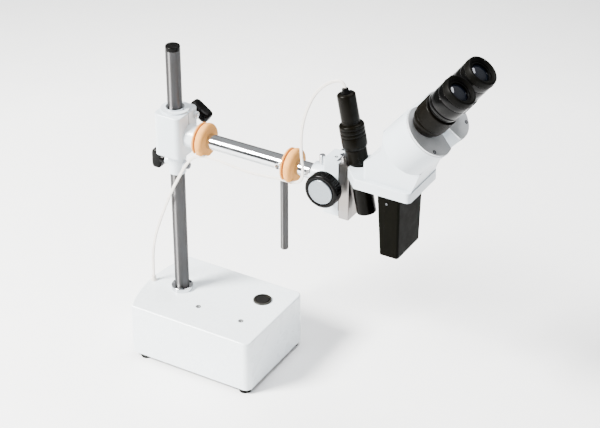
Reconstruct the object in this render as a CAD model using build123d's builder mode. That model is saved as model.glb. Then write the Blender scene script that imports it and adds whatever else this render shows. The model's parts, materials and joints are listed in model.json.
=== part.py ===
"""Stereo microscope on a boom stand, as an assembly of separate pieces. Millimetres, +Z up.

The stand rests on z = 0. The boom runs along +X, and y = 0 is the plane of symmetry of the head.
The origin is below the middle of the whole object, so the pillar stands at pillar_x.
"""
from build123d import *
import math
import os

os.makedirs("parts", exist_ok=True)

# Base
base_width = 140.0
base_front = 145.5  # front wall, ahead of the pillar axis
base_back = 34.2  # rear corners, behind the pillar axis
rear_bow = 15.5  # how far the rear wall bows out past its corners
base_height = 73.5
base_corner = 9.0
base_wall = 2.0
edge_round = 2.5
foot_radius = 9.0
foot_height = 7.0
plate_thickness = 26.0  # a cast slab, whose weight keeps the stand from tipping
post_radius = 6.0
foot_spots = [(134.0, 60.0), (134.0, -60.0), (-20.0, 60.0), (-20.0, -60.0)]
gland_length = 8.0
gland_height = 50.0
grommet_spot = (-43.0, -4.0)
grommet_rise = 7.5
switch_spot = (108.1, 28.0)
rocker_tilt = 8.0
transformer_spot = (75.7, -27.2)
ear_spacing = 65.6

# Pillar and its clamps
pillar_radius = 9.5
pillar_top = 439.3
cap_height = 6.0
collar_radius = 14.5
collar_height = 6.0
running = 0.05  # radial clearance of a running fit
stop_bottom = 260.0
stop_screw_height = 273.0
block_bottom = 292.0
block_top = 350.0
block_back = 19.0
block_front = 20.0
block_half_width = 23.5
lip_height = 2.5
bush_radius = 11.0
pinch_x = 15.5
pinch_z = 336.0
knob_angle = 34.0  # the wings of the clamp knob slope down towards the boom

# Boom
boom_radius = 10.0
boom_wall = 1.5
boom_z = 318.0
boom_end = 218.0
hub_radius = 15.0
hub_end = 36.0
guide_radius = 22.5
guide_spots = [("rear", 36.3), ("front", 164.5)]
lip_width = 2.7
groove_width = 1.0
guide_width = 11.0
rod_radius = 5.0
rod_x = 159.0
rod_bottom = 194.0
rod_screw_x = 157.0
rod_screw_radius = 6.0

# Focus block
socket_start = 203.0
socket_radius = 14.0
body_back = 222.0
body_front = 244.0
body_half_width = 15.0
body_bottom = 275.0
body_top = 349.0
shaft_x = 234.0
shaft_z = 320.0
shaft_radius = 4.0
tooth_count = 12
module = 1.0
bearing_radius = 10.0
bearing_end = 27.0
knob_radius = 22.2
knob_width = 15.0
disc_radius = 16.0
slider_front = 257.6
slider_bottom = 272.7
slider_top = 348.0
slide_gap = 0.15

# Head
plate_back = 276.0
plate_front = 350.0
plate_half_width = 37.0
plate_bottom = 335.0
plate_top = 348.0
shroud_bottom = 249.0
objective_x = 320.5
objective_half_spacing = 13.0
objective_radius = 9.5
face_x = 366.0  # middle of the end plates
face_z = 430.3
housing_tilt = 47.5
housing_radius = 33.0
housing_length = 46.0
housing_half_spacing = 22.0
housing_turn = 12.0  # each housing turns this far either side of upright
flat_distance = 16.0
end_plate_thickness = 2.5
eye_tilt = 52.5
eye_half_spacing = 27.5
eye_rise = 9.0  # eyepiece axis above the housing axis, on the end plate
eye_length = 75.0
eyecup_radius = 19.4

# Lamp, measured down its own axis from the gland
lamp_top_x = 242.6
lamp_top_z = 443.0
lamp_tilt = 11.5
lamp_radius = 11.5
lamp_collar_radius = 15.5
nose_radius = 12.2
lamp_length = 163.0

lead_radius = 2.0

# The origin is halfway between the mains gland and the eyecups.
eye_slope = math.radians(eye_tilt)
housing_slope = math.radians(housing_tilt)
eyecup_reach = (
    face_x
    - eye_rise * math.sin(housing_slope)
    + eye_length * math.cos(eye_slope)
    + eyecup_radius * math.sin(eye_slope)
)
pillar_x = (base_back + rear_bow + gland_length - eyecup_reach) / 2
base_top = foot_height + base_height


def write(block, node):
    block.part.label = node
    export_step(block.part, f"parts/{node}.step")


def at(x, y, z):
    """A place given from the pillar axis."""
    return (pillar_x + x, y, z)


def upright(x, y, z=0.0):
    return Plane(origin=at(x, y, z))


def across(x, z, side=1):
    """A plane whose normal is side times +Y."""
    return Plane(origin=at(x, 0, z), x_dir=(1, 0, 0), z_dir=(0, side, 0))


def forward(x, y, z):
    """A plane whose normal is +X."""
    return Plane(origin=at(x, y, z), x_dir=(0, 1, 0), z_dir=(1, 0, 0))


def disc(plane, start, end, radius, mode=Mode.ADD):
    """A cylinder between two distances along a plane's normal."""
    with BuildSketch(plane.offset(start)) as section:
        Circle(radius)
    extrude(section.sketch, amount=end - start, mode=mode)


def cone(plane, start, end, start_radius, end_radius, mode=Mode.ADD):
    with BuildSketch(plane.offset(start)) as first:
        Circle(start_radius)
    with BuildSketch(plane.offset(end)) as last:
        Circle(end_radius)
    loft(sections=[first.sketch, last.sketch], mode=mode)


def block_between(low, high, mode=Mode.ADD):
    """A box between two corners given from the pillar axis."""
    size = [high[i] - low[i] for i in range(3)]
    middle = [(high[i] + low[i]) / 2 for i in range(3)]
    with Locations(at(*middle)):
        Box(*size, mode=mode)


def base_outline(inset):
    """The base seen from above, drawn in by an inset."""
    front = pillar_x + base_front
    corner = pillar_x - base_back
    side = base_width / 2
    with BuildSketch() as outline:
        with BuildLine():
            Polyline((corner, side), (front, side), (front, -side), (corner, -side))
            ThreePointArc((corner, -side), (corner - rear_bow, 0), (corner, side))
        make_face()
        fillet(outline.vertices().group_by(Axis.X)[-1], base_corner)
        if inset:
            offset(amount=-inset)
    return outline.sketch


# ---- base
inner_top = base_top - base_wall
plate_top_z = foot_height + plate_thickness
screw_spots = [
    (transformer_spot[0] - ear_spacing / 2, transformer_spot[1]),
    (transformer_spot[0] + ear_spacing / 2, transformer_spot[1]),
]
csk_radius = 3.6
top_screw_radius = 1.8
foot_screw_radius = 1.95
switch_radius = 11.4
switch_depth = 20.0
bezel_radius = 12.4
bezel_rise = 2.0
paddle_radius = 8.8
well_radius = 10.0
well_depth = 9.0
pivot_drop = 3.0  # rocker pivot, below the top of the base
pivot_radius = 1.0
pillar_bore = 7.5
bolt_radius = 4.0
bolt_length = 20.0
collar_screw_ring = 12.1
collar_screw_radius = 1.0
gland_stem = 5.4
gland_bore = 3.5
grommet_stem = 2.9

with BuildPart() as base_cover:
    with BuildSketch(Plane.XY.offset(foot_height)):
        add(base_outline(0))
    extrude(amount=base_height)
    fillet(base_cover.edges().group_by(Axis.Z)[-1], edge_round)
    with BuildSketch(Plane.XY.offset(foot_height)):
        add(base_outline(base_wall))
    extrude(amount=base_height - base_wall, mode=Mode.SUBTRACT)
    for x, y in foot_spots:
        disc(upright(x, y), plate_top_z, inner_top, post_radius)
        disc(upright(x, y), plate_top_z, plate_top_z + 18, foot_screw_radius + running, Mode.SUBTRACT)
    disc(upright(0, 0), inner_top, base_top, pillar_radius + 0.1, Mode.SUBTRACT)
    disc(upright(*switch_spot), inner_top, base_top, switch_radius + 0.1, Mode.SUBTRACT)
    disc(upright(*grommet_spot), inner_top, base_top, grommet_stem + 0.1, Mode.SUBTRACT)
    with BuildSketch(Plane.XY.offset(inner_top)):
        with Locations(at(0, 0, 0)):
            with PolarLocations(collar_screw_ring, 3, start_angle=-60):
                Circle(collar_screw_radius + running)
    extrude(amount=base_wall, mode=Mode.SUBTRACT)
    for x, y in screw_spots:
        disc(upright(x, y), inner_top, base_top, top_screw_radius + 0.1, Mode.SUBTRACT)
        cone(upright(x, y), base_top - 1.8, base_top, top_screw_radius + 0.1, csk_radius + 0.1, Mode.SUBTRACT)
    disc(forward(-base_back - rear_bow, 0, gland_height), -1, base_wall + 1, gland_stem + 0.1, Mode.SUBTRACT)
write(base_cover, "base_cover")

with BuildPart() as bottom_plate:
    with BuildSketch(Plane.XY.offset(foot_height)):
        add(base_outline(base_wall + 0.3))
    extrude(amount=plate_thickness)
    for x, y in foot_spots:
        disc(upright(x, y), foot_height, plate_top_z, foot_screw_radius + 0.1, Mode.SUBTRACT)
    disc(upright(0, 0), foot_height, plate_top_z, bolt_radius + 0.2, Mode.SUBTRACT)
write(bottom_plate, "bottom_plate")

with BuildPart() as rubber_feet:
    for x, y in foot_spots:
        cone(upright(x, y), 0, foot_height, foot_radius - 1, foot_radius)
        disc(upright(x, y), 0, foot_height - 3, 4.2, Mode.SUBTRACT)
        disc(upright(x, y), 0, foot_height, foot_screw_radius + 0.1, Mode.SUBTRACT)
write(rubber_feet, "rubber_feet")

with BuildPart() as foot_screws:
    for x, y in foot_spots:
        disc(upright(x, y), foot_height - 5.5, foot_height - 3, 3.8)
        disc(upright(x, y), foot_height - 3, plate_top_z + 16, foot_screw_radius)
write(foot_screws, "foot_screws")

with BuildPart() as top_screws:
    for x, y in screw_spots:
        disc(upright(x, y), base_top - 10, base_top - 1.8, top_screw_radius)
        cone(upright(x, y), base_top - 1.8, base_top, top_screw_radius, csk_radius)
        with BuildSketch(Plane.XY.offset(base_top)):
            with Locations(at(x, y, 0)):
                RegularPolygon(1.6, 6)
        extrude(amount=-1.2, mode=Mode.SUBTRACT)
write(top_screws, "top_screws")

core_half = 24.0
core_height = 40.0
core_depth = 16.0
core_leg = 8.0
ear_thickness = 1.5
core_top = inner_top - ear_thickness
coil_height = core_height - 2 * core_leg - 0.4

with BuildPart() as transformer_core:
    x, y = transformer_spot
    half = core_depth / 2
    block_between((x - core_half, y - half, core_top - core_height), (x + core_half, y + half, core_top))
    for side in (-1, 1):
        window = x + side * 1.5 * core_leg
        block_between(
            (window - core_leg / 2, y - half, core_top - core_height + core_leg),
            (window + core_leg / 2, y + half, core_top - core_leg),
            Mode.SUBTRACT,
        )
    block_between((x - ear_spacing / 2 - 5, y - half, core_top), (x + ear_spacing / 2 + 5, y + half, inner_top))
    for x, y in screw_spots:
        disc(upright(x, y), core_top, inner_top, top_screw_radius + running, Mode.SUBTRACT)
write(transformer_core, "transformer_core")

with BuildPart() as transformer_coil:
    with BuildSketch(Plane.XY.offset(core_top - core_height + core_leg + 0.2)):
        with Locations(at(*transformer_spot, 0)):
            Rectangle(4 * core_leg - 0.8, core_depth + 18)
            Rectangle(2 * core_leg + 0.4, core_depth + 0.4, mode=Mode.SUBTRACT)
    extrude(amount=coil_height)
    fillet(transformer_coil.edges().filter_by(Axis.Z).group_by(Axis.X)[0], 3)
    fillet(transformer_coil.edges().filter_by(Axis.Z).group_by(Axis.X)[-1], 3)
write(transformer_coil, "transformer_coil")

with BuildPart() as switch_body:
    switch_place = upright(*switch_spot)
    disc(switch_place, base_top - switch_depth, base_top, switch_radius)
    disc(switch_place, base_top, base_top + bezel_rise, bezel_radius)
    fillet(switch_body.edges().group_by(Axis.Z)[-1], 0.8)
    disc(switch_place, base_top - well_depth, base_top + bezel_rise, well_radius, Mode.SUBTRACT)
    pivot_line = across(switch_spot[0], base_top - pivot_drop, -1).offset(-switch_spot[1])
    disc(pivot_line, -switch_radius + 0.4, switch_radius - 0.4, pivot_radius + running, Mode.SUBTRACT)
    for shift in (-5, 0, 5):
        x, y = switch_spot
        block_between(
            (x + shift - 0.4, y - 2.5, base_top - switch_depth - 8),
            (x + shift + 0.4, y + 2.5, base_top - switch_depth),
        )
write(switch_body, "switch_body")

with BuildPart() as switch_rocker:
    with BuildSketch(pivot_line.offset(-paddle_radius)):
        with Locations(Location((0, 0, 0), (0, 0, rocker_tilt))):
            with BuildLine():
                Polyline(
                    (-paddle_radius, 5),
                    (0, 3.4),
                    (paddle_radius, 5),
                    (paddle_radius, 2),
                    (3, -3.5),
                    (-3, -3.5),
                    (-paddle_radius, 2),
                    close=True,
                )
            make_face()
    extrude(amount=2 * paddle_radius)
    disc(switch_place, base_top - well_depth, base_top + 2 * bezel_rise, paddle_radius, Mode.INTERSECT)
    disc(pivot_line, -switch_radius + 0.6, switch_radius - 0.6, pivot_radius)
write(switch_rocker, "switch_rocker")

with BuildPart() as pillar_collar:
    disc(upright(0, 0), base_top, base_top + collar_height, collar_radius)
    fillet(pillar_collar.edges().group_by(Axis.Z)[-1], 1)
    disc(upright(0, 0), base_top, base_top + collar_height, pillar_radius + running, Mode.SUBTRACT)
    with BuildSketch(Plane.XY.offset(base_top)):
        with Locations(at(0, 0, 0)):
            with PolarLocations(collar_screw_ring, 3, start_angle=-60):
                Circle(collar_screw_radius + running)
    extrude(amount=collar_height, mode=Mode.SUBTRACT)
write(pillar_collar, "pillar_collar")

with BuildPart() as collar_screws:
    for start, rise, radius in (
        (base_top - 4, collar_height + 4, collar_screw_radius),
        (base_top + collar_height, 1.2, collar_screw_radius + 0.5),
    ):
        with BuildSketch(Plane.XY.offset(start)):
            with Locations(at(0, 0, 0)):
                with PolarLocations(collar_screw_ring, 3, start_angle=-60):
                    Circle(radius)
        extrude(amount=rise)
write(collar_screws, "collar_screws")

tube_top = pillar_top - cap_height
with BuildPart() as pillar:
    disc(upright(0, 0), plate_top_z, tube_top, pillar_radius)
    disc(upright(0, 0), plate_top_z + 24, tube_top, pillar_bore, Mode.SUBTRACT)
    disc(upright(0, 0), plate_top_z, plate_top_z + bolt_length, bolt_radius + running, Mode.SUBTRACT)
write(pillar, "pillar")

with BuildPart() as pillar_bolt:
    disc(upright(0, 0), foot_height, plate_top_z + bolt_length - 2, bolt_radius)
    with BuildSketch(Plane.XY.offset(foot_height - 5)):
        with Locations(at(0, 0, 0)):
            RegularPolygon(7, 6)
    extrude(amount=5)
write(pillar_bolt, "pillar_bolt")

with BuildPart() as pillar_cap:
    disc(upright(0, 0), tube_top, pillar_top, pillar_radius)
    fillet(pillar_cap.edges().group_by(Axis.Z)[-1], 1.5)
    disc(upright(0, 0), tube_top - 12, tube_top, pillar_bore - 0.1)
write(pillar_cap, "pillar_cap")

with BuildPart() as mains_gland:
    rear_wall = forward(-base_back - rear_bow, 0, gland_height)
    disc(rear_wall, -3, 0, 8)
    cone(rear_wall, -gland_length, -3, 5, 6.5)
    disc(rear_wall, 0, base_wall + 5, gland_stem)
    disc(rear_wall, base_wall + 0.3, base_wall + 5, 7.5)
    disc(rear_wall, -gland_length, base_wall + 5, gland_bore, Mode.SUBTRACT)
write(mains_gland, "mains_gland")

with BuildPart() as lead_grommet:
    grommet_place = upright(*grommet_spot)
    disc(grommet_place, base_top, base_top + 1.5, grommet_stem + 1.1)
    cone(grommet_place, base_top + 1.5, base_top + grommet_rise, 3.6, lead_radius + 0.6)
    disc(grommet_place, base_top - 5, base_top, grommet_stem)
write(lead_grommet, "lead_grommet")


# ---- stop collar and clamp block, which slide and turn on the pillar
stop_top = block_bottom - 0.2
stop_knob_start = 16.4
stud_radius = 2.5
wing_half = 14.0

with BuildPart() as stop_collar:
    disc(upright(0, 0), stop_bottom, stop_bottom + 8, 11.2)
    cone(upright(0, 0), stop_bottom + 8, stop_top, 11.2, 12.6)
    disc(forward(0, 0, stop_screw_height), -stop_knob_start, 15, 5.5)
    disc(upright(0, 0), stop_bottom - 1, stop_top + 1, pillar_radius + running, Mode.SUBTRACT)
    disc(forward(0, 0, stop_screw_height), -stop_knob_start, 0, stud_radius + 0.1, Mode.SUBTRACT)
    disc(forward(0, 0, stop_screw_height), 0, 15, 3.05, Mode.SUBTRACT)
write(stop_collar, "stop_collar")

with BuildPart() as stop_screw:
    disc(forward(0, 0, stop_screw_height), pillar_radius + 0.3, 15, 3)
    disc(forward(0, 0, stop_screw_height), 15, 19, 4.6)
    fillet(stop_screw.edges().group_by(Axis.X)[-1], 2)
write(stop_screw, "stop_screw")

with BuildPart() as collar_knob:
    rearward = Plane(origin=at(0, 0, stop_screw_height), x_dir=(0, 1, 0), z_dir=(-1, 0, 0))
    disc(rearward, pillar_radius + 0.3, stop_knob_start + 0.2, stud_radius)
    disc(rearward, stop_knob_start + 0.2, 30, 6.5)
    with BuildSketch(rearward.offset(22)):
        SlotOverall(2 * wing_half, 6.5, rotation=90)
    extrude(amount=14)
    fillet(collar_knob.edges().group_by(Axis.X)[0], 2)
write(collar_knob, "collar_knob")

hub_line = forward(0, 0, boom_z)
pinch_line = across(pinch_x, pinch_z)

with BuildPart() as clamp_block:
    block_between((-block_back, -block_half_width, block_bottom), (block_front, block_half_width, block_top))
    fillet(clamp_block.edges().filter_by(Axis.Z), 8)
    fillet(clamp_block.edges().group_by(Axis.Z)[-1], 1.5)
    disc(upright(0, 0), block_top, block_top + lip_height, 18.5)
    disc(hub_line, block_front - 1, hub_end, hub_radius)
    disc(forward(block_front, 15.5, 340), -1, 2.5, 5)
    disc(upright(0, 0), block_bottom, block_top + lip_height, bush_radius + running, Mode.SUBTRACT)
    disc(hub_line, 12.3, hub_end, boom_radius + running, Mode.SUBTRACT)
    disc(pinch_line, -16, block_half_width, 3.1, Mode.SUBTRACT)
    block_between((10.5, -0.75, 330), (block_front + 1, 0.75, block_top + lip_height + 1), Mode.SUBTRACT)
write(clamp_block, "clamp_block")

with BuildPart() as clamp_bush:
    disc(upright(0, 0), block_bottom + 0.5, block_top + lip_height, bush_radius)
    disc(upright(0, 0), block_top + lip_height, block_top + lip_height + 2, 12)
    disc(upright(0, 0), block_bottom, block_top + lip_height + 2, pillar_radius + running, Mode.SUBTRACT)
write(clamp_bush, "clamp_bush")

with BuildPart() as clamp_knob:
    disc(pinch_line, -15, block_half_width + 1.5, 3)
    disc(pinch_line, block_half_width + 1.5, 36, 6.5)
    with BuildSketch(pinch_line.offset(29)):
        SlotOverall(2 * wing_half + 4, 6.5, rotation=knob_angle)
    extrude(amount=14)
    fillet(clamp_knob.edges().group_by(Axis.Y)[-1], 2)
write(clamp_knob, "clamp_knob")


# ---- boom
with BuildPart() as boom_tube:
    disc(hub_line, 12.5, boom_end, boom_radius)
    disc(hub_line, 12.5, boom_end, boom_radius - boom_wall, Mode.SUBTRACT)
    disc(upright(rod_x, 0), boom_z - boom_radius - 1, boom_z, rod_radius + running, Mode.SUBTRACT)
    disc(across(rod_screw_x, boom_z, -1), 0, boom_radius + 1, 2.1, Mode.SUBTRACT)
write(boom_tube, "boom_tube")

notch_spot = (-14.0, 302.5)
guide_line = Axis((0, 0, boom_z), (1, 0, 0))
for end, start in guide_spots:
    with BuildPart() as ring_guide:
        inner = boom_radius + 0.02
        for shift, width, outer, bend in (
            (0, lip_width, guide_radius - 1, 1.2),
            (lip_width - 0.5, groove_width + 1, guide_radius - 5.5, 0.2),
            (lip_width + groove_width, guide_width, guide_radius, 5),
        ):
            with BuildSketch(Plane.XZ) as profile:
                with Locations((pillar_x + start + shift + width / 2, boom_z + (inner + outer) / 2)):
                    Rectangle(width, outer - inner)
                fillet(profile.vertices().group_by(Axis.Y)[-1], bend)
            revolve(axis=guide_line)
        disc(forward(start, *notch_spot), -1, lip_width + groove_width + guide_width + 1, 3.2, Mode.SUBTRACT)
    write(ring_guide, f"ring_guide_{end}")

with BuildPart() as drop_rod:
    disc(upright(rod_x, 0), rod_bottom, boom_z + 4, rod_radius)
    chamfer(drop_rod.edges().group_by(Axis.Z)[0], 0.8)
write(drop_rod, "drop_rod")

with BuildPart() as rod_clamp_screw:
    screw_line = across(rod_screw_x, boom_z, -1)
    disc(screw_line, rod_radius + 0.05, boom_radius + 0.05, 2)
    disc(screw_line, boom_radius + 0.05, boom_radius + 5, rod_screw_radius)
    fillet(rod_clamp_screw.edges().group_by(Axis.Y)[0], 0.8)
    with BuildSketch(screw_line.offset(boom_radius + 5)):
        RegularPolygon(3, 6)
    extrude(amount=-3, mode=Mode.SUBTRACT)
write(rod_clamp_screw, "rod_clamp_screw")


# ---- focus block on the end of the boom
pitch_radius = module * tooth_count / 2
tooth_pitch = math.pi * module
groove_floor = shaft_x + pitch_radius - 1.4
pinion_half = 3.2
thumb_x = 213.0

with BuildPart() as focus_body:
    block_between((body_back, -body_half_width, body_bottom), (body_front, body_half_width, body_top))
    fillet(focus_body.edges().filter_by(Axis.Z).group_by(Axis.X)[0], 2.5)
    disc(hub_line, socket_start, body_back + 0.5, socket_radius)
    disc(across(shaft_x, shaft_z), -bearing_end, bearing_end, bearing_radius)
    disc(hub_line, socket_start, boom_end + 1, boom_radius + running, Mode.SUBTRACT)
    disc(across(shaft_x, shaft_z), -bearing_end, bearing_end, shaft_radius + running, Mode.SUBTRACT)
    disc(across(shaft_x, shaft_z), -pinion_half - 0.4, pinion_half + 0.4, pitch_radius + 1.8, Mode.SUBTRACT)
    with BuildSketch(Plane.XY.offset(body_bottom)):
        with BuildLine():
            Polyline(
                (pillar_x + body_front, -8.5),
                (pillar_x + body_front, 8.5),
                (pillar_x + groove_floor, 11.5),
                (pillar_x + groove_floor, -11.5),
                close=True,
            )
        make_face()
    extrude(amount=body_top - body_bottom, mode=Mode.SUBTRACT)
    disc(upright(thumb_x, 0), boom_z, boom_z + socket_radius + 1, 2.05, Mode.SUBTRACT)
write(focus_body, "focus_body")

with BuildPart() as thumbscrew:
    screw_tip = boom_z + boom_radius + 0.3
    knurl_start = boom_z + socket_radius + 2
    disc(upright(thumb_x, 0), screw_tip, knurl_start, 2)
    disc(upright(thumb_x, 0), knurl_start, knurl_start + 11, 3.7)
    chamfer(thumbscrew.edges().group_by(Axis.Z)[-1], 0.5)
    with BuildSketch(Plane.XY.offset(knurl_start + 2)):
        with Locations(at(thumb_x, 0, 0)):
            with PolarLocations(3.9, 14):
                Circle(0.4)
    extrude(amount=9, mode=Mode.SUBTRACT)
write(thumbscrew, "thumbscrew")

knob_start = bearing_end + 0.4
knob_end = knob_start + knob_width
shaft_end = knob_end - 1.9

with BuildPart() as focus_shaft:
    shaft_line = across(shaft_x, shaft_z)
    disc(shaft_line, -shaft_end, shaft_end, shaft_radius)
    with BuildSketch(shaft_line.offset(-pinion_half)):
        Circle(pitch_radius - 1.25 * module)
        with PolarLocations(0, tooth_count):
            with BuildLine():
                Polyline((4.4, -1), (6.9, -0.32), (6.9, 0.32), (4.4, 1), close=True)
            make_face()
    extrude(amount=2 * pinion_half)
write(focus_shaft, "focus_shaft")

with BuildPart() as focus_knobs:
    for side in (-1, 1):
        outward = across(shaft_x, shaft_z, side)
        disc(outward, knob_start, knob_end, knob_radius)
        disc(outward, knob_start, shaft_end + 0.2, shaft_radius + 0.02, Mode.SUBTRACT)
        disc(outward, knob_end - 1, knob_end, disc_radius + 0.1, Mode.SUBTRACT)
    chamfer(focus_knobs.edges().group_by(Axis.Y)[0].sort_by(SortBy.LENGTH)[-1], 1)
    chamfer(focus_knobs.edges().group_by(Axis.Y)[-1].sort_by(SortBy.LENGTH)[-1], 1)
write(focus_knobs, "focus_knobs")

with BuildPart() as knob_discs:
    for side in (-1, 1):
        disc(across(shaft_x, shaft_z, side), knob_end - 1, knob_end + 0.8, disc_radius)
    fillet(knob_discs.edges().group_by(Axis.Y)[0], 0.5)
    fillet(knob_discs.edges().group_by(Axis.Y)[-1], 0.5)
write(knob_discs, "knob_discs")

lamp_slope = math.radians(lamp_tilt)
lamp_line = Plane(
    origin=at(lamp_top_x, 0, lamp_top_z),
    x_dir=(0, 1, 0),
    z_dir=(math.sin(lamp_slope), 0, -math.cos(lamp_slope)),
)
rack_half = 3.5
rack_back = body_front - 0.5
slider_half_width = body_half_width - 0.3
tail_back = groove_floor + 1.2
tail_slope = 3.0 / (body_front - groove_floor)

with BuildPart() as focus_slider:
    block_between(
        (body_front + 0.2, -slider_half_width, slider_bottom),
        (slider_front, slider_half_width, slider_top),
    )
    fillet(focus_slider.edges().filter_by(Axis.Z).group_by(Axis.X)[-1], 1.5)
    with BuildSketch(Plane.XY.offset(slider_bottom)):
        narrow = 8.5 - slide_gap - tail_slope * 0.3
        wide = narrow + tail_slope * (body_front - tail_back)
        with BuildLine():
            Polyline(
                (pillar_x + body_front + 0.3, -narrow),
                (pillar_x + body_front + 0.3, narrow),
                (pillar_x + tail_back, wide),
                (pillar_x + tail_back, -wide),
                close=True,
            )
        make_face()
    extrude(amount=slider_top - slider_bottom)
    block_between(
        (tail_back - 1, -rack_half - 0.05, slider_bottom),
        (rack_back + 0.05, rack_half + 0.05, slider_top),
        Mode.SUBTRACT,
    )
    disc(lamp_line, 80, 150, nose_radius + 2, Mode.SUBTRACT)
write(focus_slider, "focus_slider")

with BuildPart() as focus_rack:
    pitch_line = shaft_x + pitch_radius
    root_line = pitch_line + 1.25 * module
    teeth = int((slider_top - slider_bottom) / tooth_pitch) - 2
    block_between(
        (root_line, -rack_half, shaft_z - teeth / 2 * tooth_pitch),
        (rack_back, rack_half, shaft_z + teeth / 2 * tooth_pitch),
    )
    with BuildSketch(Plane.XZ.offset(-rack_half)):
        for index in range(teeth):
            height = shaft_z + (index + 0.5 - teeth // 2) * tooth_pitch
            with BuildLine():
                Polyline(
                    (pillar_x + root_line + 0.1, height - 1.1),
                    (pillar_x + pitch_line - 0.9, height - 0.3),
                    (pillar_x + pitch_line - 0.9, height + 0.3),
                    (pillar_x + root_line + 0.1, height + 1.1),
                    close=True,
                )
            make_face()
    extrude(amount=2 * rack_half)
write(focus_rack, "focus_rack")


# ---- head
objective_spots = [(objective_x, -objective_half_spacing), (objective_x, objective_half_spacing)]

with BuildPart() as head_plate:
    with BuildSketch(Plane.XY.offset(plate_bottom)) as plan:
        with BuildLine():
            Polyline(
                (pillar_x + slider_front, -17),
                (pillar_x + plate_back, -plate_half_width),
                (pillar_x + plate_front, -plate_half_width),
                (pillar_x + plate_front, plate_half_width),
                (pillar_x + plate_back, plate_half_width),
                (pillar_x + slider_front, 17),
                close=True,
            )
        make_face()
        fillet(plan.vertices().group_by(Axis.X)[-1], 6)
    extrude(amount=plate_top - plate_bottom)
    fillet(head_plate.edges().group_by(Axis.Z)[-1].sort_by(Axis.X)[1:], 1.2)
    disc(lamp_line, 80, 125, nose_radius + 0.1, Mode.SUBTRACT)
    for x, y in objective_spots:
        disc(upright(x, y), plate_bottom, plate_top, objective_radius + 0.1, Mode.SUBTRACT)
write(head_plate, "head_plate")


def face_plane(side):
    """The end plate of one housing: local +Z runs up the housing, local +X towards the front and down."""
    return Plane(
        origin=at(face_x, side * housing_half_spacing, face_z),
        x_dir=(math.sin(housing_slope), 0, -math.cos(housing_slope)),
        z_dir=(math.cos(housing_slope), 0, math.sin(housing_slope)),
    )


def face_point(up, out):
    """A point of the plane of symmetry, out from the end plates and up along them, from the pillar axis."""
    return (
        face_x + out * math.cos(housing_slope) - up * math.sin(housing_slope),
        face_z + out * math.sin(housing_slope) + up * math.cos(housing_slope),
    )


seat_back = face_point(housing_radius, -housing_length)
seat_front = face_point(-housing_radius, -housing_length)
head_half_width = 31.0
head_outline = [(284, plate_top), (284, 369), (308, 391), seat_back, seat_front, (349, plate_top)]
spigot_radius = 6.0
head_wall = 3.0

with BuildPart() as head_body:
    with BuildSketch(Plane.XZ.offset(-head_half_width)):
        with BuildLine():
            Polyline(*[(pillar_x + x, z) for x, z in head_outline], close=True)
        make_face()
    extrude(amount=2 * head_half_width)
    fillet(head_body.edges().filter_by(Axis.Z), 5)
    with BuildSketch(Plane.XZ.offset(-head_half_width + head_wall)):
        with BuildLine():
            Polyline(*[(pillar_x + x, z) for x, z in head_outline], close=True)
        make_face()
        offset(amount=-head_wall)
    extrude(amount=2 * (head_half_width - head_wall), mode=Mode.SUBTRACT)
    for side in (-1, 1):
        disc(face_plane(side), -housing_length - 8, -housing_length, spigot_radius + running, Mode.SUBTRACT)
    for x, y in objective_spots:
        disc(upright(x, y), plate_top, plate_top + head_wall, objective_radius - 1, Mode.SUBTRACT)
write(head_body, "head_body")

shroud_rings = [
    (plate_bottom, 304.0, 334.0, 31.5),
    (shroud_bottom, 308.0, 333.0, 29.0),
]
with BuildPart() as objective_shroud:
    for inset, mode in ((0, Mode.ADD), (2, Mode.SUBTRACT)):
        for height, back, front, half in shroud_rings:
            drop = inset if height == plate_bottom else 0
            with BuildSketch(Plane.XY.offset(height - drop)):
                with Locations(at((back + front) / 2, 0, 0)):
                    RectangleRounded(front - back - 2 * inset, 2 * (half - inset), 3 - inset)
        loft(mode=mode)
    for x, y in objective_spots:
        disc(upright(x, y), plate_bottom - 2, plate_bottom, objective_radius + 0.1, Mode.SUBTRACT)
write(objective_shroud, "objective_shroud")

with BuildPart() as objectives:
    for x, y in objective_spots:
        disc(upright(x, y), plate_bottom - 70, plate_top, objective_radius)
        disc(upright(x, y), plate_bottom - 73, plate_bottom - 60, objective_radius + 1)
        disc(upright(x, y), plate_bottom - 73, plate_top, objective_radius - 1.5, Mode.SUBTRACT)
        disc(upright(x, y), plate_bottom - 68, plate_bottom - 64, objective_radius - 1.4)
write(objectives, "objectives")


def housing_profile(side, radius, distance):
    """A circle with its inner side cut flat, turned so that the two flats open towards the front."""
    turn = math.radians(housing_turn)
    middle = distance + radius
    with BuildSketch() as profile:
        Circle(radius)
        spot = (middle * math.sin(turn), -side * middle * math.cos(turn), 0)
        with Locations(Location(spot, (0, 0, side * housing_turn))):
            Rectangle(4 * radius, 2 * radius, mode=Mode.SUBTRACT)
    return profile.sketch


def eye_plane(side):
    """The foot of an eyepiece on its end plate: local +Z runs up the eyepiece."""
    x, z = face_point(eye_rise, 0)
    return Plane(
        origin=at(x, side * eye_half_spacing, z),
        x_dir=(math.sin(eye_slope), 0, -math.cos(eye_slope)),
        z_dir=(math.cos(eye_slope), 0, math.sin(eye_slope)),
    )


seat_gap = 0.25
housing_bottom = -housing_length + seat_gap
prism_floor = housing_bottom + 5
prism_length = 34.0
tube_spot_out = eye_half_spacing - housing_half_spacing
barrel_radius = 15.0
sleeve_radius = 17.5
sleeve_end = 36.6
ring_start = 16.3
ring_end = 36.3
ring_radius = 21.6
eyepiece_radius = 20.5
shoulder_end = 41.0
eyecup_start = 66.0
lens_radius = 12.0


def knurl(plane, radius):
    with BuildSketch(plane.offset(ring_start + 3)) as grooves:
        with PolarLocations(radius + 0.25, 40):
            Circle(0.8)
    extrude(grooves.sketch, amount=ring_end - ring_start - 6, mode=Mode.SUBTRACT)


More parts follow.
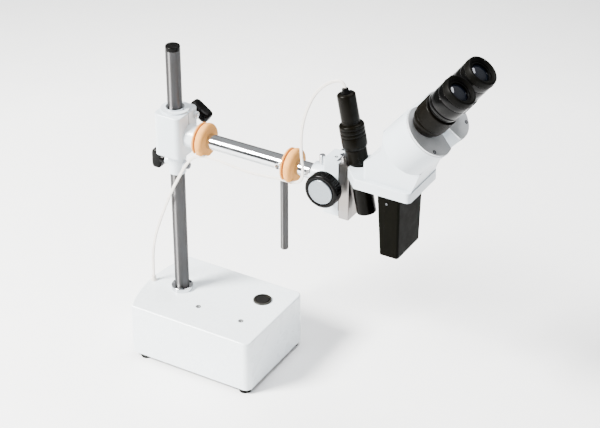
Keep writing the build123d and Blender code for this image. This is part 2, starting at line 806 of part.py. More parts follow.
for side, hand in ((-1, "left"), (1, "right")):
    face = face_plane(side)
    eye = eye_plane(side)

    with BuildPart() as prism_housing:
        with BuildSketch(face.offset(housing_bottom)):
            add(housing_profile(side, housing_radius, flat_distance))
        extrude(amount=-end_plate_thickness - housing_bottom)
        disc(face, housing_bottom - 4, housing_bottom, spigot_radius)
        disc(face, housing_bottom - 4, prism_floor, spigot_radius - 2, Mode.SUBTRACT)
        with BuildSketch(face.offset(prism_floor)):
            Rectangle(30, 26)
        extrude(amount=-prism_floor, mode=Mode.SUBTRACT)
    write(prism_housing, f"prism_housing_{hand}")

    with BuildPart() as end_plate:
        with BuildSketch(face.offset(-end_plate_thickness)):
            add(housing_profile(side, housing_radius - 0.6, flat_distance - 0.3))
        extrude(amount=end_plate_thickness)
        with BuildSketch(face.offset(-end_plate_thickness)):
            with Locations((-eye_rise, side * tube_spot_out)):
                Circle(12.7)
        extrude(amount=end_plate_thickness, mode=Mode.SUBTRACT)
    write(end_plate, f"end_plate_{hand}")

    with BuildPart() as prism:
        with BuildSketch(face.offset(prism_floor)):
            Rectangle(28, 25.9)
        extrude(amount=prism_length)
        chamfer(prism.edges().filter_by(Axis.Y).sort_by(Axis.Z)[-1], 10)
    write(prism, f"prism_{hand}")

    with BuildPart() as eye_tube:
        disc(eye, -1.5, 1.7, 11.8)
        disc(eye, 1.7, 8, 16.5)
        disc(eye, 8, ring_start - 0.3, 19.5)
        disc(eye, ring_start - 0.3, sleeve_end, sleeve_radius)
        if hand == "right":
            disc(eye, ring_start, ring_end, ring_radius)
            knurl(eye, ring_radius)
        disc(eye, 9, sleeve_end, barrel_radius + running, Mode.SUBTRACT)
        disc(eye, -1.5, 9, 10, Mode.SUBTRACT)
    write(eye_tube, f"eye_tube_{hand}")

    if hand == "left":
        with BuildPart() as dioptre_ring:
            disc(eye, ring_start, ring_end, ring_radius)
            knurl(eye, ring_radius)
            disc(eye, ring_start, ring_end, sleeve_radius + running, Mode.SUBTRACT)
        write(dioptre_ring, "dioptre_ring")

    with BuildPart() as eyepiece:
        disc(eye, 10, sleeve_end + 0.4, barrel_radius)
        disc(eye, sleeve_end + 0.4, shoulder_end, 19.5)
        disc(eye, shoulder_end, eyecup_start, eyepiece_radius)
        disc(eye, eyecup_start, eyecup_start + 6, sleeve_radius)
        for groove in (shoulder_end - 3, shoulder_end, shoulder_end + 4):
            disc(eye, groove, groove + 0.9, eyepiece_radius + 1, Mode.SUBTRACT)
            disc(eye, groove, groove + 0.9, sleeve_radius)
        disc(eye, 10, 60, 12.5, Mode.SUBTRACT)
        disc(eye, 60, 64, 11, Mode.SUBTRACT)
        disc(eye, 64, eyecup_start + 6, lens_radius + 0.05, Mode.SUBTRACT)
    write(eyepiece, f"eyepiece_{hand}")

    with BuildPart() as eye_lens:
        disc(eye, 64, 68, lens_radius)
        with BuildSketch(eye.offset(68)):
            Circle(lens_radius)
        extrude(amount=2, taper=50)
    write(eye_lens, f"eye_lens_{hand}")

    with BuildPart() as eyecup:
        cone(eye, eyecup_start, eye_length, eyecup_radius + 1.4, eyecup_radius)
        disc(eye, eyecup_start, eyecup_start + 6, sleeve_radius + 0.02, Mode.SUBTRACT)
        cone(eye, eyecup_start + 6, eye_length, 13, 16.5, Mode.SUBTRACT)
    write(eyecup, f"eyecup_{hand}")


# ---- lamp, which shines down through the head plate
lamp_bore = 9.5
cap_end = 10.0
barrel_end = 45.0
lamp_collar_end = 76.0
shoulder_stop = 97.0

with BuildPart() as lamp_gland:
    cone(lamp_line, 0, 6, lead_radius + 0.8, 5)
    disc(lamp_line, 6, 13, 4)
write(lamp_gland, "lamp_gland")

with BuildPart() as lamp_barrel:
    disc(lamp_line, 6, barrel_end, lamp_radius)
    fillet(lamp_barrel.edges().sort_by(Axis.Z)[-1], 1.5)
    disc(lamp_line, barrel_end, lamp_collar_end, lamp_collar_radius)
    disc(lamp_line, 6, cap_end, 4.05, Mode.SUBTRACT)
    disc(lamp_line, cap_end, lamp_collar_end, lamp_bore, Mode.SUBTRACT)
    with BuildSketch(lamp_line.offset(barrel_end + 8)):
        with PolarLocations(lamp_collar_radius, 12, start_angle=15):
            Rectangle(2.4, 2.4)
    extrude(amount=14, mode=Mode.SUBTRACT)
write(lamp_barrel, "lamp_barrel")

with BuildPart() as lamp_nose:
    disc(lamp_line, lamp_collar_end - 8, lamp_collar_end, lamp_bore - 0.05)
    disc(lamp_line, lamp_collar_end, shoulder_stop - 2, nose_radius + 1.3)
    disc(lamp_line, shoulder_stop - 2, lamp_length, nose_radius)
    disc(lamp_line, lamp_collar_end - 8, lamp_length, lamp_bore - 1.5, Mode.SUBTRACT)
    disc(lamp_line, lamp_length - 13, lamp_length, lamp_bore, Mode.SUBTRACT)
write(lamp_nose, "lamp_nose")

with BuildPart() as lamp_bulb:
    disc(lamp_line, 38, 42, lamp_bore - 0.05)
    disc(lamp_line, 42, 54, 6)
    disc(lamp_line, 54, 66, 5)
    fillet(lamp_bulb.edges().sort_by(Axis.Z)[0], 3)
write(lamp_bulb, "lamp_bulb")

with BuildPart() as lamp_lens:
    disc(lamp_line, lamp_length - 12.9, lamp_length - 9, lamp_bore - 0.05)
    with BuildSketch(lamp_line.offset(lamp_length - 9)):
        Circle(lamp_bore - 0.05)
    extrude(amount=2, taper=45)
write(lamp_lens, "lamp_lens")


# ---- lamp lead, whose points are given from the pillar axis
riser_points = [
    (*grommet_spot, base_top + grommet_rise),
    (-43, -4, 104),
    (-41.5, -5, 126),
    (-36, -6.5, 152),
    (-27.5, -8.5, 176),
    (-15.5, -12, 204),
    (0, -16, 238),
    (14, -18.3, 264),
    (24.5, -17, 285),
    (36.5, -14.6, 300.5),
    (51.5, -13.9, 303),
]
loop_points = [
    (51.9, -13.9, 303),
    (66, -13.5, 303.1),
    (90, -14, 301),
    (118, -15, 299),
    (145, -14.6, 301.2),
    (163, -13.9, 302.6),
    (180, -14, 303.1),
    (188.5, -14.8, 306.5),
    (194, -15.5, 314.5),
    (195, -16, 327),
    (192.5, -15, 343),
    (190, -12.5, 362),
    (190, -9.5, 382),
    (194.5, -7, 404),
    (204, -4.5, 427),
    (217, -2.5, 442),
    (230, -0.8, 450),
    (241, 0, 450.85),
    (lamp_top_x, 0, lamp_top_z + 0.05),
]


def lead(points, node):
    """A round lead along straight runs and the largest arcs that those runs allow."""
    stops = [Vector(*at(*point)) for point in points]
    runs = [after - before for before, after in zip(stops, stops[1:])]
    radii = []
    for before, after in zip(runs, runs[1:]):
        half_turn = math.radians(before.get_angle(after)) / 2
        radii.append(0.45 * min(before.length, after.length) / math.tan(half_turn))
    with BuildPart() as cord:
        with BuildLine() as route:
            FilletPolyline(*stops, radius=radii)
        with BuildSketch(Plane(origin=stops[0], z_dir=runs[0])):
            Circle(lead_radius)
        sweep(path=route.wire())
    write(cord, node)
    length = route.wire().length
    section = math.pi * lead_radius**2
    print(node, "length", round(length, 1), "volume ratio", round(cord.part.volume / (section * length), 4))
    print("  radii", [round(radius, 1) for radius in radii])
    print("  runs", [round(run.length, 1) for run in runs])
    print("  turns", [round(before.get_angle(after)) for before, after in zip(runs, runs[1:])])


lead(riser_points, "lead_riser")
lead(loop_points, "lead_loop")
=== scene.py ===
import json
import math

import bpy
import numpy as np
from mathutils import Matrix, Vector


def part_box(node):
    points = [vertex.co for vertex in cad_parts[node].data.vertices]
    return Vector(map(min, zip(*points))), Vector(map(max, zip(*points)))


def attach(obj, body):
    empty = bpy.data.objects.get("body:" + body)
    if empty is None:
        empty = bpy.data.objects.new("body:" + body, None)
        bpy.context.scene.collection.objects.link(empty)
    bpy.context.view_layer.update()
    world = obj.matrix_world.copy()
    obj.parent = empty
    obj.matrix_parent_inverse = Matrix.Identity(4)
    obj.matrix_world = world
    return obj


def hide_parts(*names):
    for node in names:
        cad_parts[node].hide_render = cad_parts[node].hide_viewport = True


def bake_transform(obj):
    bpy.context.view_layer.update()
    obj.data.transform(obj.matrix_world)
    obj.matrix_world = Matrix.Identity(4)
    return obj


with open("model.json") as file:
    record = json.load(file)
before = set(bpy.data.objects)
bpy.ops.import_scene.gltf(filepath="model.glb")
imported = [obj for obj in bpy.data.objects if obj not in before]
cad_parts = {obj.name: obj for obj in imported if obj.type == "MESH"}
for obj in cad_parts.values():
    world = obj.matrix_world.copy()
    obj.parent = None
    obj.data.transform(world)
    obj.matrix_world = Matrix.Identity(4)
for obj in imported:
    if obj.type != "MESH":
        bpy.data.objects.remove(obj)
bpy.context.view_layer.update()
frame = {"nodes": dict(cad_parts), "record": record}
nodes = frame["nodes"]
print("frame loaded:", len(nodes), "nodes")


def tone(code):
    # hex colour to the linear values that Blender's sockets take, opaque
    parts = [int(code[i:i + 2], 16) / 255 for i in (0, 2, 4)]
    return [p / 12.92 if p <= 0.04045 else ((p + 0.055) / 1.055) ** 2.4 for p in parts] + [1.0]


def node(mat, kind, values=None, **settings):
    # adds one shader node; a value that is a socket gets linked, anything else is set
    made = mat.node_tree.nodes.new("ShaderNode" + kind)
    for key, value in settings.items():
        setattr(made, key, value)
    for key, value in (values or {}).items():
        if isinstance(value, bpy.types.NodeSocket):
            mat.node_tree.links.new(value, made.inputs[key])
        else:
            made.inputs[key].default_value = value
    return made


def newMaterial(name, values):
    # a Principled surface with plain socket values, returned with its shader
    mat = bpy.data.materials.new(name)
    mat.use_nodes = True
    mat.node_tree.nodes.clear()
    shader = node(mat, "BsdfPrincipled", values)
    node(mat, "OutputMaterial", {"Surface": shader.outputs["BSDF"]})
    return mat, shader


def plug(mat, shader, socket, output):
    mat.node_tree.links.new(output, shader.inputs[socket])


def position(mat, stretch=(1, 1, 1)):
    # object coordinates in millimetres, so that texture scales read as cycles per mm
    spot = node(mat, "TexCoord").outputs["Object"]
    return node(mat, "Mapping", {"Vector": spot, "Scale": [1000 * s for s in stretch]}).outputs["Vector"]


def noise(mat, where, perMm, detail, rough=0.5):
    found = node(mat, "TexNoise", {"Vector": where, "Scale": perMm, "Detail": detail, "Roughness": rough})
    return found.outputs["Fac"]


def spread(mat, value, low, high, fromLow=0.3, fromHigh=0.7):
    # a texture value stretched onto the range low to high; noise hardly leaves 0.3 to 0.7
    found = node(mat, "MapRange", {
        "Value": value, "From Min": fromLow, "From Max": fromHigh, "To Min": low, "To Max": high})
    return found.outputs["Result"]


def mixTone(mat, share, first, second):
    return node(mat, "Mix", {0: share, 6: first, 7: second}, data_type="RGBA").outputs[2]


def bump(mat, height, depthMm, strength):
    return node(mat, "Bump", {"Height": height, "Distance": depthMm / 1000, "Strength": strength}).outputs["Normal"]


def enamel(name, code, shade, grain, depth, roughness):
    # stoved white enamel: a near even coat with faint cloudiness, a few specks and the dimpling of sprayed paint
    mat, shader = newMaterial(name, {"Coat Weight": 0.35, "Coat Roughness": 0.12, "IOR": 1.5})
    where = position(mat)
    cloud = noise(mat, where, 0.012, 4)
    dust = noise(mat, where, 0.35, 5, 0.7)
    tint = mixTone(mat, spread(mat, cloud, 0, 0.5), tone(code), tone(shade))
    specks = spread(mat, dust, 0, 1, 0.66, 0.74)
    faint = node(mat, "Math", {0: specks, 1: 0.18}, operation="MULTIPLY").outputs[0]
    plug(mat, shader, "Base Color", mixTone(mat, faint, tint, tone("8C8A84")))
    plug(mat, shader, "Roughness", spread(mat, noise(mat, where, 0.05, 3), roughness - 0.05, roughness + 0.07))
    peel = noise(mat, where, grain, 2)
    plug(mat, shader, "Normal", bump(mat, peel, depth, 0.6))
    return mat


def plated(name, code, roughness, metallic=1.0, scratch=0.35):
    # plated or turned bright metal: thin handling smears and hairline wiping marks
    mat, shader = newMaterial(name, {"Metallic": metallic})
    smear = noise(mat, position(mat), 0.03, 5, 0.65)
    hair = noise(mat, position(mat, (1, 1, 0.04)), 1.6, 2)
    plug(mat, shader, "Base Color", mixTone(mat, spread(mat, smear, 0, 0.35), tone(code), tone("9A9DA2")))
    plug(mat, shader, "Roughness", spread(mat, smear, roughness, roughness + 0.12))
    plug(mat, shader, "Normal", bump(mat, hair, 0.004, scratch))
    return mat


def brushed(name, code, roughness, stretch, metallic=1.0):
    # brushed or bead-blasted aluminium and steel: streaks drawn out one way over a soft mottle
    mat, shader = newMaterial(name, {"Metallic": metallic})
    streak = noise(mat, position(mat, stretch), 1.1, 3, 0.6)
    mottle = noise(mat, position(mat), 0.05, 4)
    plug(mat, shader, "Base Color", mixTone(mat, spread(mat, mottle, 0, 0.3), tone(code), tone("9EA1A5")))
    plug(mat, shader, "Roughness", spread(mat, streak, roughness - 0.06, roughness + 0.1))
    plug(mat, shader, "Normal", bump(mat, streak, 0.012, 0.5))
    return mat


def moulded(name, code, worn, roughness, grain, depth, gloss=0.5):
    # moulded plastic: spark-eroded grain, a little rubbed paler where hands and dust reach
    mat, shader = newMaterial(name, {"IOR": 1.49, "Specular IOR Level": gloss})
    where = position(mat)
    rubbed = noise(mat, where, 0.06, 5, 0.7)
    tint = mixTone(mat, spread(mat, rubbed, 0, 0.45, 0.45, 0.75), tone(code), tone(worn))
    plug(mat, shader, "Base Color", tint)
    plug(mat, shader, "Roughness", spread(mat, rubbed, roughness - 0.05, roughness + 0.08))
    plug(mat, shader, "Normal", bump(mat, noise(mat, where, grain, 2), depth, 0.5))
    return mat


def rubbery(name, code, dusty, roughness, grain):
    # matt rubber or blacked iron: hardly any gloss, dust held in a fine pebble
    mat, shader = newMaterial(name, {"IOR": 1.5, "Specular IOR Level": 0.04})
    where = position(mat)
    dust = noise(mat, where, 0.12, 6, 0.75)
    plug(mat, shader, "Base Color", mixTone(mat, spread(mat, dust, 0, 0.4, 0.42, 0.7), tone(code), tone(dusty)))
    plug(mat, shader, "Roughness", spread(mat, dust, roughness - 0.05, roughness + 0.05))
    plug(mat, shader, "Normal", bump(mat, noise(mat, where, grain, 3), 0.03, 0.5))
    return mat


def anodised(name, code, worn, roughness, gloss):
    # black anodised aluminium: satin, faintly brown where the dye is thin, fine lathe lines
    mat, shader = newMaterial(name, {"IOR": 1.5, "Specular IOR Level": gloss})
    where = position(mat)
    thin = noise(mat, where, 0.08, 5, 0.7)
    plug(mat, shader, "Base Color", mixTone(mat, spread(mat, thin, 0, 0.5, 0.45, 0.75), tone(code), tone(worn)))
    plug(mat, shader, "Roughness", spread(mat, thin, roughness - 0.04, roughness + 0.1))
    plug(mat, shader, "Normal", bump(mat, noise(mat, where, 2.0, 2), 0.006, 0.5))
    return mat


def shadeDarkenedGlass(name, code, roughness):
    # coated optical glass, partly clear, with the faint bloom of an anti-reflection coat; its base colour is painted
    # near-black as painted shade for the dark inside of the eyepiece
    mat, shader = newMaterial(name, {
        "IOR": 1.52, "Transmission Weight": 0.55,
        "Coat Weight": 0.25, "Coat Roughness": 0.02, "Coat Tint": tone("5F7FC8")})
    smear = noise(mat, position(mat), 0.15, 4)
    plug(mat, shader, "Base Color", mixTone(mat, spread(mat, smear, 0, 0.2), tone(code), tone("1D2A38")))
    plug(mat, shader, "Roughness", spread(mat, smear, roughness, roughness + 0.04))
    return mat


def groundBar(name, code, roughness):
    # centreless-ground bar, hard chromed: the grinding marks run round it, so highlights draw out along it
    mat, shader = newMaterial(name, {"Metallic": 1.0, "Anisotropic": 1.0, "Anisotropic Rotation": 0.25})
    plug(mat, shader, "Tangent", node(mat, "Tangent", direction_type="RADIAL", axis="Z").outputs[0])
    smear = noise(mat, position(mat), 0.03, 4)
    # painted reflection: the base tone this finish is given is far darker than hard chrome, to stand in for dark
    # reflections
    plug(mat, shader, "Base Color", mixTone(mat, spread(mat, smear, 0, 0.4), tone(code), tone("565350")))
    plug(mat, shader, "Roughness", spread(mat, smear, roughness, roughness + 0.05))
    return mat


def facedDisc(name, code, middle):
    # aluminium faced on a lathe: fine rings about the knob's axis, from the distance to that axis
    mat, shader = newMaterial(name, {"Metallic": 1.0})
    where = node(mat, "Mapping", {
        "Vector": node(mat, "TexCoord").outputs["Object"],
        "Location": [-1000 * m for m in middle], "Scale": (1000, 0, 1000)})
    away = node(mat, "VectorMath", {0: where.outputs["Vector"]}, operation="LENGTH").outputs["Value"]
    rings = node(mat, "TexNoise", {"W": away, "Scale": 3.0, "Detail": 2.0}, noise_dimensions="1D").outputs["Fac"]
    mottle = noise(mat, position(mat), 0.08, 4)
    plug(mat, shader, "Base Color", mixTone(mat, spread(mat, mottle, 0, 0.3), tone(code), tone("8F9498")))
    plug(mat, shader, "Roughness", spread(mat, rings, 0.26, 0.42))
    plug(mat, shader, "Normal", bump(mat, rings, 0.01, 0.4))
    return mat


def middleOf(name):
    # the middle of a CAD node's box
    low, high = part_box(name)
    return (low.x + high.x) / 2, (low.y + high.y) / 2, (low.z + high.z) / 2


paint = {  # one material for each slot of the frame
    "white_sheet": enamel("stovedEnamelOnSheet", "E2EAEF", "D9DFE3", grain=0.9, depth=0.01, roughness=0.28),
    "white_casting": enamel("stovedEnamelOnCasting", "CCD5DC", "BEC6CC", grain=0.55, depth=0.02, roughness=0.34),
    "cast_ballast": rubbery("blackedCastIron", "2A2B2D", "55504A", roughness=0.7, grain=0.8),
    "black_rubber": rubbery("blackRubber", "050504", "0E0D0B", roughness=0.45, grain=1.2),
    "beige_rubber": rubbery("beigeRubber", "CF9350", "A8702F", roughness=0.5, grain=0.9),
    "dark_screws": plated("blackedScrewSteel", "3A3B3E", 0.32, scratch=0.5),
    "laminations": brushed("coreLaminations", "6E7074", 0.45, stretch=(0.05, 0.05, 3)),
    "winding": plated("enamelledCopperWinding", "B0673A", 0.35, metallic=0.8, scratch=0.6),
    "black_plastic": moulded("blackPhenolic", "050505", "0E0D0C", 0.24, grain=1.1, depth=0.012, gloss=0.07),
    "white_vinyl": moulded("whiteVinyl", "D9D4CE", "BFB8B0", 0.4, grain=0.8, depth=0.01),
    "chrome_plate": plated("chromePlate", "D9DBDE", 0.07),
    "bright_steel": brushed("groundSteel", "A7AAAE", 0.25, stretch=(0.1, 2, 2)),
    "satin_aluminium": brushed("satinAluminium", "D9DCDF", 0.46, stretch=(1, 0.08, 1), metallic=0.75),
    "black_anodised": anodised("blackAnodised", "050402", "0C0A06", 0.28, gloss=0.05),
    # painted shade: the near-black base colour darkens the lens to the black of the eyepiece's shaded inside
    "optical_glass": shadeDarkenedGlass("coatedGlass", "10161F", 0.02),
}
# painted reflection: the dark 545456 makes pillar and drop rod look as if they reflect dark surroundings
barFinish = groundBar("hardChromeBar", "545456", 0.4)
ringFinish = anodised("satinDioptreRing", "060503", "0D0B08", 0.3, gloss=0.05)
barrelFinish = anodised("glossBlackBarrel", "040404", "0A0907", 0.14, gloss=0.12)
discMiddle = middleOf("knob_discs")
discFinish = facedDisc("facedAluminiumDisc", "878E94", (discMiddle[0], 0, discMiddle[2]))
ownFinish = {  # nodes whose look is finer than their slot's
    "objective_shroud": anodised("mattBlackShroud", "040402", "0B0A06", 0.5, gloss=0.02),
    "pillar": barFinish, "drop_rod": barFinish,
    # painted shade and reflection: the slideway is given a dull brownish grey, darker than bare drawn metal
    "focus_slider": brushed("drawnSlideway", "857E79", 0.33, stretch=(1, 1, 0.05)),
    "switch_body": moulded("satinSwitchBezel", "201F1C", "33312D", 0.34, grain=0.9, depth=0.01, gloss=0.3),
    "switch_rocker": moulded("glossSwitchRocker", "0B0A09", "191816", 0.16, grain=1.4, depth=0.006),
    "top_screws": plated("zincScrewSteel", "A5A6A6", 0.3, scratch=0.5),
}
slotOf = {p["node"]: p["material_slot"] for p in frame["record"]["subparts"]}


def dress(piece, mat):
    piece.data.materials.clear()
    piece.data.materials.append(mat)


for name, piece in nodes.items():
    dress(piece, ownFinish.get(name) or paint[slotOf[name]])
print("materials on", len(nodes), "nodes")


def placed(name, data):
    # a new object in the scene, at the origin
    made = bpy.data.objects.new(name, data)
    bpy.context.scene.collection.objects.link(made)
    return made


axisX = middleOf("pillar")[0]  # the pillar's axis, which the camera and every piece are placed from
view = {
    "place": (1.1367, -1.6410, 1.4120),  # metres from the foot of that axis
    "azimuth": 30.2, "pitch": 31.44,  # degrees round, and down from level
    "lens": 107.49, "sensor": 36,  # mm
}
camera = placed("camera", bpy.data.cameras.new("camera"))
camera.location = (axisX + view["place"][0], view["place"][1], view["place"][2])
camera.rotation_euler = (math.radians(90 - view["pitch"]), 0, math.radians(view["azimuth"]))
camera.data.lens = view["lens"]
camera.data.sensor_width = view["sensor"]
bpy.context.scene.camera = camera

studio = {
    "floor": 20.0,  # side of the square, in metres
    "paper": ("FAFBFC", "F3F4F6", "A3A6A9"),  # two near whites that mottle, and the darker tone painted far out as painted shade
    "fade": (0.85, 1.7),  # the paper is painted darker between these distances, in metres, as painted shade that gives glossy parts a dim surround to reflect
    "sky": [(0.05, "54575B"), (0.55, "FFFFFF")],  # height of a unit direction, and the tone seen that way
    "skyStrength": 0.55,
    "lamps": [  # name, place, aim, size in metres, watts, colour
        ("keySoftbox", (-1.6, -1.8, 2.2), (0, 0, 0.3), 1.1, 620, "FFFDF8"),
        ("fillSoftbox", (2.2, -1.2, 1.3), (0, 0, 0.25), 1.4, 9, "F2F6FF"),
        ("topSoftbox", (0.3, 0.9, 2.6), (0, 0, 0.2), 1.6, 90, "FFFFFF"),
    ],
}

for name, place, aim, size, watts, code in studio["lamps"]:
    lamp = bpy.data.lights.new(name, "AREA")
    lamp.shape = "DISK"
    lamp.size = size
    lamp.energy = watts
    lamp.color = tone(code)[:3]
    holder = placed(name, lamp)
    holder.location = place
    holder.rotation_euler = (Vector(aim) - Vector(place)).to_track_quat("-Z", "Y").to_euler()

world = bpy.data.worlds.new("paleRoom")
world.use_nodes = True
sky = world.node_tree.nodes["Background"]
height = node(world, "SeparateXYZ", {0: node(world, "TexCoord").outputs["Generated"]}).outputs["Z"]
ramp = node(world, "ValToRGB", {0: height})  # dark at and below the horizon, pale overhead
for stop, (spot, code) in zip(ramp.color_ramp.elements, studio["sky"]):
    stop.position, stop.color = spot, tone(code)
plug(world, sky, 0, ramp.outputs[0])
sky.inputs[1].default_value = studio["skyStrength"]
bpy.context.scene.world = world

edge = studio["floor"] / 2
sheetMesh = bpy.data.meshes.new("floor")
sheetMesh.from_pydata([(-edge, -edge, 0), (edge, -edge, 0), (edge, edge, 0), (-edge, edge, 0)], [], [(0, 1, 2, 3)])
floor = placed("floor", sheetMesh)
floorPaper, floorShader = newMaterial("paleFloor", {"Roughness": 0.75})
mottle = spread(floorPaper, noise(floorPaper, position(floorPaper), 0.02, 4), 0, 0.3)
paper = mixTone(floorPaper, mottle, tone(studio["paper"][0]), tone(studio["paper"][1]))
where = node(floorPaper, "TexCoord").outputs["Object"]
outward = node(floorPaper, "VectorMath", {0: where}, operation="LENGTH").outputs["Value"]
# painted shade: the paper is mixed towards its darker far tone with distance from the middle
paintedFalloffShare = spread(floorPaper, outward, 0, 1, *studio["fade"])
plug(floorPaper, floorShader, "Base Color", mixTone(floorPaper, paintedFalloffShare, paper, tone(studio["paper"][2])))
floor.data.materials.append(floorPaper)
print("camera, floor and light set")


def shellFaces(rings, steps, looped):
    # quads between neighbouring rings of a closed strip, then a fan from an added middle point at each end;
    # a looped strip closes on its own first ring and has no fans
    i, j = np.meshgrid(np.arange(rings - 1), np.arange(steps), indexing="ij")
    k = (j + 1) % steps
    quads = np.stack([i * steps + j, i * steps + k, (i + 1) * steps + k, (i + 1) * steps + j], -1).reshape(-1, 4)
    if looped:
        return [(quads % ((rings - 1) * steps)).tolist()]
    last = (rings - 1) * steps
    turn = np.arange(steps)
    after = (turn + 1) % steps
    foot = np.stack([np.full(steps, rings * steps), after, turn], -1)
    head = np.stack([np.full(steps, rings * steps + 1), last + turn, last + after], -1)
    return [quads.tolist(), foot.tolist(), head.tolist()]


def volume(points, faces):
    # six times the signed volume, by the fan of each face about its first corner; only its sign is used
    total = 0.0
    for group in faces:
        ids = np.array(group)
        first = points[ids[:, 0]]
        for k in range(1, ids.shape[1] - 1):
            total += np.einsum("ij,ij->i", first, np.cross(points[ids[:, k]], points[ids[:, k + 1]])).sum()
    return total


def solid(name, grids, body, slotName, mat=None, replaced=(), crease=38, looped=False):
    # grids are closed strips of shape (rings, steps, 3) in metres; each becomes a sealed shell facing outwards,
    # shaded smooth but for edges sharper than the crease, in degrees
    allPoints, allFaces, count = [], [], 0
    for grid in grids:
        rings, steps = grid.shape[:2]
        if looped:  # the last ring is the first one again
            points = grid[:-1].reshape(-1, 3)
        else:
            points = np.vstack([grid.reshape(-1, 3), grid[0].mean(0), grid[-1].mean(0)])
        faces = shellFaces(rings, steps, looped)
        if volume(points - points.mean(0), faces) < 0:
            faces = [[f[::-1] for f in group] for group in faces]
        allPoints.append(points)
        allFaces += [[v + count for v in f] for group in faces for f in group]
        count += len(points)
    mesh = bpy.data.meshes.new(name)
    mesh.from_pydata(np.vstack(allPoints).tolist(), [], allFaces)
    mesh.shade_smooth()
    mesh.set_sharp_from_angle(angle=math.radians(crease))
    piece = placed(name, mesh)
    dress(piece, mat or paint[slotName])
    if body:
        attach(piece, body)
    if replaced:
        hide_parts(*replaced)
    return piece


def unit(vector):
    return np.array(vector, float) / np.linalg.norm(vector)


def turned(profile, base, axis, steps, ripple=None):
    # a profile of (distance along the axis, radius) in mm carried round the axis:
    # point = base + axis * s + radius * (cos t * u + sin t * v); the ripple, in mm, is a function of t
    # and of s in mm that is added to the radius
    axis = unit(axis)
    start = (0, 1, 0) if abs(axis[1]) < 0.9 else (1, 0, 0)  # anything well off the axis will do
    side = unit(np.array(start) - np.dot(start, axis) * axis)
    other = np.cross(axis, side)
    s, r = np.array(profile, float).T / 1000
    t = np.linspace(0, 2 * math.pi, steps, endpoint=False)
    radius = np.repeat(r[:, None], steps, 1)
    if ripple is not None:
        radius = radius + ripple(t[None, :], s[:, None] * 1000) / 1000
    ring = np.cos(t)[:, None] * side + np.sin(t)[:, None] * other
    return np.array(base) + s[:, None, None] * axis + radius[:, :, None] * ring[None]


def bored(profile, base, axis, steps=96, ripple=None):
    # a closed loop of a profile carried round the axis, as the wall of a hollow turned piece
    return turned(profile + [profile[0]], base, axis, steps, ripple)


def softened(profile, radius):
    # each inner corner of a profile is replaced by a small curve: (1 - t)^2 first + 2 t (1 - t) corner + t^2 last,
    # where first and last lie a radius back and ahead, or a set share of a side that is too short for that
    share, steps = 0.45, 3
    points = np.array(profile, float)
    found = [points[0]]
    for before, corner, after in zip(points[:-2], points[1:-1], points[2:]):
        back, ahead = before - corner, after - corner
        backLength, aheadLength = np.linalg.norm(back), np.linalg.norm(ahead)
        first = corner + back / backLength * min(radius, backLength * share)
        last = corner + ahead / aheadLength * min(radius, aheadLength * share)
        for t in np.linspace(0, 1, steps):
            found.append((1 - t) ** 2 * first + 2 * t * (1 - t) * corner + t * t * last)
    found.append(points[-1])
    return np.array(found)


def softenedLoop(profile, radius):
    # the same on a closed profile, started from the middle of its last side
    middle = tuple((np.array(profile[0]) + np.array(profile[-1])) / 2)
    return [tuple(p) for p in softened([middle, *profile, middle], radius)[:-1]]


def carried(section, path, side):
    # a closed section of (across, up) in metres carried along a path; across lies along side made square to the path
    path = np.array(path, float)
    ahead = np.gradient(path, axis=0)
    ahead /= np.linalg.norm(ahead, axis=1)[:, None]
    up = np.cross(ahead, side)
    up /= np.linalg.norm(up, axis=1)[:, None]
    across = np.cross(up, ahead)
    return path[:, None] + section[None, :, :1] * across[:, None] + section[None, :, 1:] * up[:, None]


def roundedSquare(steps, power):
    # |a|^(2 / power) + |b|^(2 / power) = 1, as a = cos t and b = sin t with their sizes raised to the power
    t = np.linspace(0, 2 * math.pi, steps, endpoint=False)
    return (np.sign(f(t)) * np.abs(f(t)) ** power for f in (np.cos, np.sin))


def grooves(count, depth, start, end, fade, power):
    # so many lengthwise grooves round a grip, -depth * |sin(count t / 2)|^power, faded out towards start and end
    def height(t, s):
        body = np.clip((s - start) / fade, 0, 1) * np.clip((end - s) / fade, 0, 1)
        return -depth * body * np.abs(np.sin(count * t / 2)) ** power
    return height


def at(x, y, z):
    # a point given in mm from the foot of the pillar's axis
    return np.array([axisX + x / 1000, y / 1000, z / 1000])


lead = {  # a flat twin cable; metres, from the foot of the pillar's axis
    "halfWidth": 0.002, "halfThickness": 0.00115,
    "pinch": 0.3, "pinchReach": 0.3,  # how deep the waist between the cores is, and how wide, as shares
    "steps": 24, "perSpan": 12,  # points round the section, and along each span of the route
    "riserCut": 0.5, "loopCut": 0.45,  # where each route changes body, as a share of its points
    "leaving": 12,  # points before the focus block where the cable lets go of the clamp
    "riser": [
        (-0.043, -0.004, 0.088), (-0.043, -0.004, 0.104), (-0.0415, -0.005, 0.126), (-0.036, -0.0065, 0.152),
        (-0.0275, -0.0085, 0.176), (-0.0155, -0.012, 0.204), (0, -0.016, 0.238), (0.014, -0.0183, 0.264),
        (0.0245, -0.017, 0.285), (0.0365, -0.0146, 0.3005), (0.0515, -0.0139, 0.303)],
    "loop": [
        (0.0519, -0.0139, 0.303), (0.066, -0.0135, 0.3031), (0.09, -0.014, 0.301), (0.118, -0.015, 0.299),
        (0.145, -0.0146, 0.3012), (0.163, -0.0139, 0.3026), (0.18, -0.014, 0.3031), (0.1885, -0.0148, 0.3065),
        (0.194, -0.0155, 0.3145), (0.195, -0.016, 0.327), (0.1925, -0.015, 0.343), (0.19, -0.0125, 0.362),
        (0.19, -0.0095, 0.382), (0.1945, -0.007, 0.404), (0.204, -0.0045, 0.427), (0.217, -0.0025, 0.442),
        (0.23, -0.0008, 0.45), (0.241, 0, 0.45085), (0.2426, 0, 0.44305)],
}


